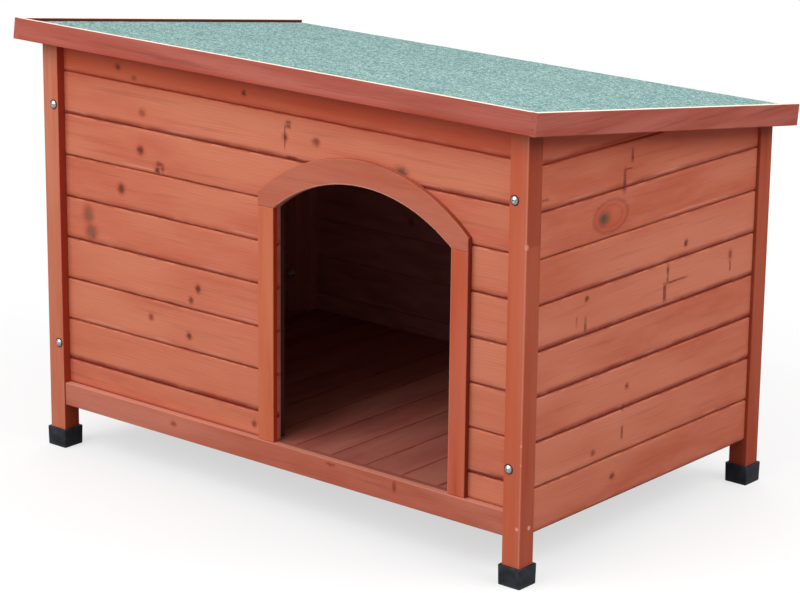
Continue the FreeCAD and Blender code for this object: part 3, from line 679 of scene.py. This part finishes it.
postWood = {"spread": 2.6, "rings": 0.4}
frontRightFaces = [
    # painted shade on the outer face, which is also darker above 0.515 m
    sawn("X", 1, postSideShade, 0.46),
    sawn("X", 1, edgeShadeAndStain, 0.36, ("Z", 0.511, 0.515)),
    sawn("Y", -1, orangeStain, 0.3, ("X", 0.4840, 0.4735)),
    # painted highlight along the rounded edge of the front face
    sawn("Y", -1, wearAndHighlight, 0.28, ("X", 0.4862, post["rightEdge"])),
]
frontRightChips = [
    chip(0.4842, post["front"], 0.0915, 0.0036, 0.9),
    chip(post["right"], -0.2890, 0.0895, 0.0044, 0.95),
    chip(post["right"], post["front"], 0.515, 0.0056, 0.65),
    chip(post["rightEdge"], post["front"], 0.2195, 0.0026, 0.6),
    chip(post["rightEdge"], post["front"], 0.1905, 0.0024, 0.5),
]
# painted shade on the face of the front left post that looks to the right
dress(pineFinish("frontLeftPostPine", "leftPost", "Z", "X", 2.0, faces=[sawn("X", 1, shadeAndStainRed, 0.9)],
                 spots=boltShadeRings(-post["bolt"]), **postWood), "post_front_left")
dress(pineFinish("frontRightPostPine", "post", "Z", "X", 5.0, faces=frontRightFaces,
                 spots=boltShadeRings(post["bolt"]) + frontRightChips, **postWood), "post_front_right")
dress(pineFinish("rearLeftPostPine", "rearPost", "Z", "X", 8.0, **postWood), "post_rear_left")
dress(pineFinish("rearRightPostPine", "rearPost", "Z", "Y", 9.0, **postWood), "post_rear_right")

# painted highlight on the rail's top ledge, and painted shade where it meets the wall
dress(pineFinish("railPine", "rail", "X", "Z", 14.0, knots=railKnots,
                 faces=[("Z", 1, 0.5, 0.9, wearAndHighlight, 0.45, None)],
                 shades=[("Y", -0.2975, -0.2946, pooledStainAndShade, 0.35)], spread=1.6, rings=0.7,
                 fibres=1.8), "front_bottom_rail")
dress(pineFinish("rearRailPine", "rail", "X", "Z", 15.0, spread=1.6), "rear_bottom_rail", "rear_top_rail")

# door casing: painted shade on the sides that face right, and a painted highlight along the opening's edge
dress(pineFinish("leftJambPine", "jamb", "Z", "X", 16.0, faces=[sawn("X", 1, jambSideShade, 0.9)], **postWood),
      "door_jamb_left")
dress(pineFinish("rightJambPine", "rightJamb", "Z", "X", 17.0, faces=[sawn("X", 1, edgeShadeAndStain, 0.9)],
                 shades=[("X", 0.3508, 0.3488, wearAndHighlight, 0.55)], **postWood), "door_jamb_right")
arch = {
    "middle": (0.1755, 0.278),  # of the arc, along the front and up
    "highlightFull": 0.2722,         # radii between which the painted highlight fades
    "highlightEdge": 0.2736,
    "springing": (0.492, 0.497),
}
dress(pineFinish("archPine", "arch", "X", "Z", 21.0,
                 faces=[("X", 1, 0.35, 0.7, edgeShadeAndStain, 0.8, None), ("Z", -1, 0.3, 0.6, wearAndHighlight, 0.6, None)],
                 arc=(*arch["middle"], arch["highlightFull"], arch["highlightEdge"], arch["springing"], wearAndHighlight,
                      0.95),
                 spread=1.4, rings=0.5, streaks=0.34, fibres=2.0), "door_arch")

# fascias: their tops are bare wood with a painted highlight, and the left one is seen from its inner side,
# which has painted shade
fasciaWood = {"spread": 3.0, "streaks": 0.5, "fibres": 2.6}
highlitBareTop = sawn("Z", 1, bareWoodHighlight, 0.92)
dress(pineFinish("frontFasciaPine", "fascia", "X", "Z", 31.0, faces=[highlitBareTop],
                 # the front fascia is darker towards its lower edge
                 shades=[("Z", 0.6935, 0.6855, shadeAndStainRed, 0.4)],
                 spots=[chip(0.060, -0.3368, 0.6905, 0.0034, 0.6)], **fasciaWood), "roof_fascia_front")
dress(pineFinish("rightFasciaPine", "fascia", "Y", "Z", 33.0, faces=[highlitBareTop], **fasciaWood),
      "roof_fascia_right")
dress(pineFinish("leftFasciaPine", "fascia", "Y", "Z", 35.0, faces=[highlitBareTop, sawn("X", 1, revealShade, 0.92)],
                 spread=2.0), "roof_fascia_left")

# floor: thirteen boards, front to back
floorBoards = {"start": -0.4575, "pitch": 0.915 / 13, "pool": 0.7, "lipHighlight": 0.0, "fade": 0.004, "lip": 0.001}
dress(pineFinish("floorPine", "floor", "Y", "X", 41.0, floorBoards), "floor_boards")

# frame timber inside
# painted shade on the door stiles' faces that look to the right
dress(pineFinish("doorStilePine", "inside", "Z", "X", 44.0, faces=[sawn("X", 1, revealShade, 0.9)]),
      "door_stile_left", "door_stile_right")
dress(pineFinish("frameUprightPine", "inside", "Z", "X", 45.0),
      "front_cleat_left", "front_cleat_right", "rear_cleat_left", "rear_cleat_right", "rear_middle_cleat",
      "side_stiles_left", "side_stiles_right")
dress(pineFinish("frameAlongPine", "inside", "X", "Z", 47.0),
      "front_top_batten", "floor_bearers", "roof_batten_front", "roof_batten_rear")
dress(pineFinish("frameDeepPine", "inside", "Y", "Z", 49.0),
      "side_bottom_rail_left", "side_bottom_rail_right", "roof_batten_left", "roof_batten_right")
dress(pineFinish("roofBoardPine", "inside", "X", "Y", 52.0), "roof_deck")
print("wood dressed")


# green mineral felt
felt = {
    "granule": 0.0016,          # size of the mineral granules
    "clump": 0.0042,            # and of the clumps they lie in
    "dark": seen(66, 112, 109),
    "middle": seen(125, 164, 160),
    "pale": seen(206, 224, 221),
    "patchGrain": (16.0, 22.0, 16.0),   # broad darker patches
    "relief": 0.0005,
}


def feltFinish():
    # mineral granules pressed into bitumen: small cells, each of its own shade, lying in clumps
    bench = Bench("roofFelt")
    grain = bench.vector("MULTIPLY", bench.place, (1 / felt["granule"],) * 3)
    shade = bench.split(bench.cells(grain))[0]
    lumps = bench.vector("MULTIPLY", bench.place, (0.7 / felt["clump"],) * 3)
    clump = bench.noise(lumps, detail=2.0, roughness=0.7)
    patch = bench.noise(bench.vector("MULTIPLY", bench.place, felt["patchGrain"]), detail=3.0, roughness=0.6)
    colour = bench.tint(bench.ramp(shade, 0.05, 0.7), felt["dark"], felt["middle"])
    colour = bench.tint(bench.ramp(shade, 0.7, 1.0) * 0.9, colour, felt["pale"])
    colour = bench.tint(bench.ramp(clump, 0.5, 0.68) * 0.62, colour, felt["dark"])
    colour = bench.tint(bench.ramp(clump, 0.5, 0.32) * 0.55, colour, felt["pale"])
    colour = bench.tint(bench.ramp(patch, 0.5, 0.7) * 0.25, colour, felt["dark"])
    height = shade * 0.5 + clump
    return bench.finish(colour, 0.9, height, felt["relief"], **{"Specular IOR Level": 0.2})


dress(feltFinish(), "roof_felt")


# moulded caps under the posts
cap = {
    "rim": 0.0411,              # across the flats at the rim
    "foot": 0.0400,             # and at the ground
    "corner": 0.0021,
    "mouth": 0.0334,            # the square that the post stands in
    "mouthCorner": 0.0008,
    "height": 0.0315,
    "floor": 0.0039,            # top of the cap's own floor
    "round": 0.0009,            # rounding of the rim and of the foot
    "steps": 7,                 # points to a corner
    "sharp": 40,                # degrees past which an edge stays sharp
    "dark": seen(20, 22, 28),
    "pale": seen(50, 57, 70),
    "dusty": seen(90, 88, 88),
}


def capShell(node, name):
    # A rounded square carried along a profile: from the middle of the foot out to its edge, up the
    # wall, over the rim and down the mouth to the middle of its floor. At each level a corner's arc
    # has its centre at half the width less its radius and turns through a quarter, and straight sides
    # join the arcs.
    low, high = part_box(node)
    middle = (np.array(low) + np.array(high)) / 2
    ease = cap["round"] * (1 - math.sqrt(0.5))
    levels = np.array([
        (cap["foot"] / 2 - cap["round"], 0.0, cap["corner"]),
        (cap["foot"] / 2 - ease, ease, cap["corner"]),
        (cap["foot"] / 2, cap["round"], cap["corner"]),
        (cap["rim"] / 2, cap["height"] - cap["round"], cap["corner"]),
        (cap["rim"] / 2 - ease, cap["height"] - ease, cap["corner"]),
        (cap["rim"] / 2 - cap["round"], cap["height"], cap["corner"]),
        (cap["mouth"] / 2, cap["height"], cap["mouthCorner"]),
        (cap["mouth"] / 2, cap["floor"], cap["mouthCorner"]),
    ])
    quarter = np.linspace(0.0, math.pi / 2, cap["steps"])
    turn = (np.arange(4)[:, None] * math.pi / 2 + quarter).ravel()
    corner = np.repeat(np.arange(4) * math.pi / 2 + math.pi / 4, len(quarter))
    half, up, radius = levels.T[:, :, None]
    x = np.sign(np.cos(corner)) * (half - radius) + radius * np.cos(turn)
    y = np.sign(np.sin(corner)) * (half - radius) + radius * np.sin(turn)
    rings = np.stack([x + middle[0], y + middle[1], np.broadcast_to(up, x.shape)], axis=2)
    poles = [(middle[0], middle[1], 0.0), (middle[0], middle[1], cap["floor"])]
    points = np.concatenate([rings.reshape(-1, 3), poles])
    count = len(turn)
    here = np.arange(count)
    after = (here + 1) % count
    rows = (np.arange(len(levels) - 1) * count)[:, None]
    skirt = np.stack([here + rows, after + rows, after + rows + count, here + rows + count], axis=2)
    last = (len(levels) - 1) * count
    foot = np.stack([np.full(count, last + count), after, here], axis=1)
    inside = np.stack([here + last, after + last, np.full(count, last + count + 1)], axis=1)
    mesh = bpy.data.meshes.new(name)
    mesh.from_pydata(points.tolist(), [], skirt.reshape(-1, 4).tolist() + foot.tolist() + inside.tolist())
    mesh.shade_smooth()
    mesh.set_sharp_from_angle(angle=math.radians(cap["sharp"]))
    shell = bpy.data.objects.new(name, mesh)
    bpy.context.scene.collection.objects.link(shell)
    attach(shell, "house")
    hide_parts(node)
    return shell


def capFinish():
    # moulded plastic with a fine sheen, scuffed in patches and dusty near the ground
    bench = Bench("capPlastic")
    fine = bench.noise(bench.vector("MULTIPLY", bench.place, (900.0, 900.0, 900.0)), detail=2.0)
    dust = bench.noise(bench.vector("MULTIPLY", bench.place, (75.0, 75.0, 75.0)), detail=3.0, roughness=0.6)
    up = bench.split(bench.place)[2]
    colour = bench.tint(bench.ramp(dust, 0.36, 0.7) * 0.6, cap["dark"], cap["pale"])
    colour = bench.tint(bench.ramp(up, 0.006, 0.0) * 0.3, colour, cap["dusty"])
    rough = bench.ramp(dust, 0.3, 0.7, 0.42, 0.6)
    return bench.finish(colour, rough, fine, 0.00008)


# zinc-plated steel
steel = {
    "bright": seen(222, 224, 228),
    "dull": seen(168, 172, 178),
    "roughLow": 0.24,
    "roughHigh": 0.42,
    "metallic": 0.9,
}


def steelFinish(name, grain):
    # fine brushing one way, dull spots
    bench = Bench(name)
    brush = bench.noise(bench.vector("MULTIPLY", bench.place, grain), detail=2.0)
    spots = bench.noise(bench.vector("MULTIPLY", bench.place, (260.0, 260.0, 260.0)), detail=2.0)
    colour = bench.tint(bench.ramp(spots, 0.4, 0.7) * 0.5, steel["bright"], steel["dull"])
    rough = bench.ramp(brush, 0.3, 0.7, steel["roughLow"], steel["roughHigh"])
    return bench.finish(colour, rough, brush, 0.00004, Metallic=steel["metallic"])


plastic = capFinish()
for node, name in (("foot_cap_front_left", "capFrontLeft"), ("foot_cap_front_right", "capFrontRight"),
                   ("foot_cap_rear_left", "capRearLeft"), ("foot_cap_rear_right", "capRearRight")):
    capShell(node, name).data.materials.append(plastic)
    dress(plastic, node)
print("foot caps moulded")

dress(steelFinish("boltSteel", (700.0, 700.0, 700.0)), "post_bolts", "post_nuts", "hinge_pins",
      "hinge_wall_screws", "hinge_roof_screws", "stay_studs", "stay_pivot_screws")
dress(steelFinish("plateSteel", (60.0, 1500.0, 300.0)), "hinge_wall_leaves", "hinge_roof_leaves")
dress(steelFinish("staySteel", (1500.0, 1200.0, 60.0)), "stay_arm_left", "stay_arm_right")
print("felt, caps and steel dressed")


# pale floor, even sky and three soft lamps
studio = {
    "floorSize": 14.0,
    "floorColour": seen(236, 236, 236),
    "floorBounce": seen(150, 150, 150),     # what the floor throws back on the house
    "floorWhite": 0.62,         # share of plain white near the house; it is all white further out
    "whiteFrom": 0.75,
    "whiteAt": 1.7,
    "skyTop": 0.85,             # strength of the even light from above
    "skyLow": 0.25,             # and from the horizon down
    # azimuth from straight in front, elevation, distance, size and power of each lamp
    "frontLamp": (-14, 38, 3.8, 3.0, 108.0),
    "sideLamp": (100, 40, 3.6, 2.2, 66.0),
    "backLamp": (215, 40, 4.0, 2.4, 24.0),
    "lampTarget": (0.0, 0.0, 0.35),
}


def studioFloor():
    size = studio["floorSize"]
    mesh = bpy.data.meshes.new("studioFloor")
    corners = [(-size, -size, 0), (size, -size, 0), (size, size, 0), (-size, size, 0)]
    mesh.from_pydata(corners, [], [(0, 1, 2, 3)])
    plane = bpy.data.objects.new("studioFloor", mesh)
    bpy.context.scene.collection.objects.link(plane)
    bench = Bench("studioFloor")
    paper = bench.put("ShaderNodeBsdfDiffuse", {"Color": studio["floorColour"]})
    dull = bench.put("ShaderNodeBsdfDiffuse", {"Color": studio["floorBounce"]})
    white = bench.put("ShaderNodeEmission", {"Color": (1.0, 1.0, 1.0, 1.0), "Strength": 1.0})
    path = bench.nodes.new("ShaderNodeLightPath")
    camera = Signal(bench, path.outputs["Is Camera Ray"])
    radius = bench.length(bench.place)
    plain = bench.ramp(radius, studio["whiteFrom"], studio["whiteAt"], studio["floorWhite"], 1.0)
    shown = bench.put("ShaderNodeMixShader", {0: plain, 1: paper, 2: white})
    surface = bench.put("ShaderNodeMixShader", {0: camera, 1: dull, 2: shown})
    bench.put("ShaderNodeOutputMaterial", {"Surface": surface})
    mesh.materials.append(bench.material)


def studioSky():
    world = bpy.data.worlds.new("studioSky")
    world.use_nodes = True
    bpy.context.scene.world = world
    tree = world.node_tree
    tree.nodes.clear()
    output = tree.nodes.new("ShaderNodeOutputWorld")
    direction = tree.nodes.new("ShaderNodeTexCoord")
    parts = tree.nodes.new("ShaderNodeSeparateXYZ")
    tree.links.new(direction.outputs["Generated"], parts.inputs[0])
    level = tree.nodes.new("ShaderNodeMapRange")
    level.interpolation_type = "SMOOTHSTEP"
    for key, value in {"From Min": 0.1, "From Max": 0.9, "To Min": studio["skyLow"],
                       "To Max": studio["skyTop"]}.items():
        level.inputs[key].default_value = value
    tree.links.new(parts.outputs[2], level.inputs["Value"])
    light = tree.nodes.new("ShaderNodeBackground")
    light.inputs["Color"].default_value = (1.0, 1.0, 1.0, 1.0)
    tree.links.new(level.outputs[0], light.inputs["Strength"])
    shown = tree.nodes.new("ShaderNodeBackground")
    shown.inputs["Color"].default_value = (1.0, 1.0, 1.0, 1.0)
    shown.inputs["Strength"].default_value = 1.0
    path = tree.nodes.new("ShaderNodeLightPath")
    mix = tree.nodes.new("ShaderNodeMixShader")
    tree.links.new(path.outputs["Is Camera Ray"], mix.inputs[0])
    tree.links.new(light.outputs[0], mix.inputs[1])
    tree.links.new(shown.outputs[0], mix.inputs[2])
    tree.links.new(mix.outputs[0], output.inputs["Surface"])


def softbox(name, azimuth, elevation, distance, size, power):
    # a square lamp that faces the house; azimuth 0 is straight in front of the doorway side
    a = math.radians(azimuth)
    e = math.radians(elevation)
    towards = Vector((math.sin(a) * math.cos(e), -math.cos(a) * math.cos(e), math.sin(e)))
    data = bpy.data.lights.new(name, "AREA")
    data.shape = "SQUARE"
    data.size = size
    data.energy = power
    lamp = bpy.data.objects.new(name, data)
    bpy.context.scene.collection.objects.link(lamp)
    lamp.location = Vector(studio["lampTarget"]) + towards * distance
    lamp.rotation_euler = towards.to_track_quat("Z", "Y").to_euler()


studioFloor()
studioSky()
for name in ("frontLamp", "sideLamp", "backLamp"):
    softbox(name, *studio[name])

# the photograph's camera
view = {
    "azimuth": 39.66,
    "elevation": 16.12,
    "distance": 4.6077,
    "target": (-0.0014, 0.0051, 0.2812),
    "roll": 0.65,
    "focal": 128.316,
    "sensor": 36.0,
    "farthest": 100.0,          # nothing past this is drawn
}


def setCamera():
    a = math.radians(view["azimuth"])
    e = math.radians(view["elevation"])
    r = math.radians(view["roll"])
    back = Vector((math.sin(a) * math.cos(e), -math.cos(a) * math.cos(e), math.sin(e)))
    right = Vector((math.cos(a), math.sin(a), 0.0))
    down = (-back).cross(right)
    across = right * math.cos(r) - down * math.sin(r)
    up = -(right * math.sin(r) + down * math.cos(r))
    data = bpy.data.cameras.new("photoCamera")
    data.lens = view["focal"]
    data.sensor_width = view["sensor"]
    data.clip_end = view["farthest"]
    camera = bpy.data.objects.new("photoCamera", data)
    bpy.context.scene.collection.objects.link(camera)
    turn = Matrix((across, up, back)).transposed().to_4x4()
    camera.matrix_world = Matrix.Translation(Vector(view["target"]) + back * view["distance"]) @ turn
    bpy.context.scene.camera = camera


setCamera()
bpy.context.scene.view_settings.view_transform = "Standard"
print("floor, light and camera set")
